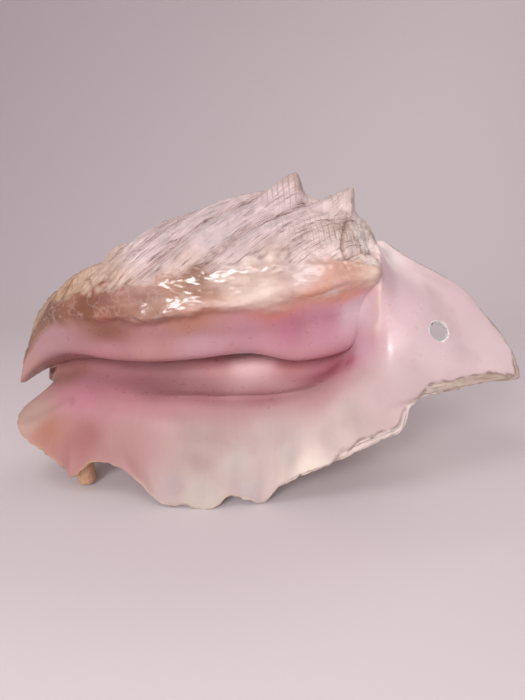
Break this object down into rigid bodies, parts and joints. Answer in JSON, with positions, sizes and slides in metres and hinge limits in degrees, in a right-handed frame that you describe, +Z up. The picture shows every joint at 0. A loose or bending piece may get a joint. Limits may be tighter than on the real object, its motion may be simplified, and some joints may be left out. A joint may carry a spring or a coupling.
{
  "type": "conch shell",
  "caption": "Queen conch shell with a flared pink lip, a spined body whorl and a drilled hanging hole, lying with its mouth forward.",
  "frame": {"origin": "centre of the bounding box in plan, at the height of the three points it stands on", "axes": "+X from the siphonal canal towards the spire, -Y out of the mouth, +Z up as it lies"},
  "size_m": [0.2224, 0.1298, 0.1279],
  "materials": {
    "shell": "glossy pink inside and on the glaze, chalky and rough outside"
  },
  "bodies": {
    "root": {"conch_shell": "shell"}
  },
  "joints": []
}
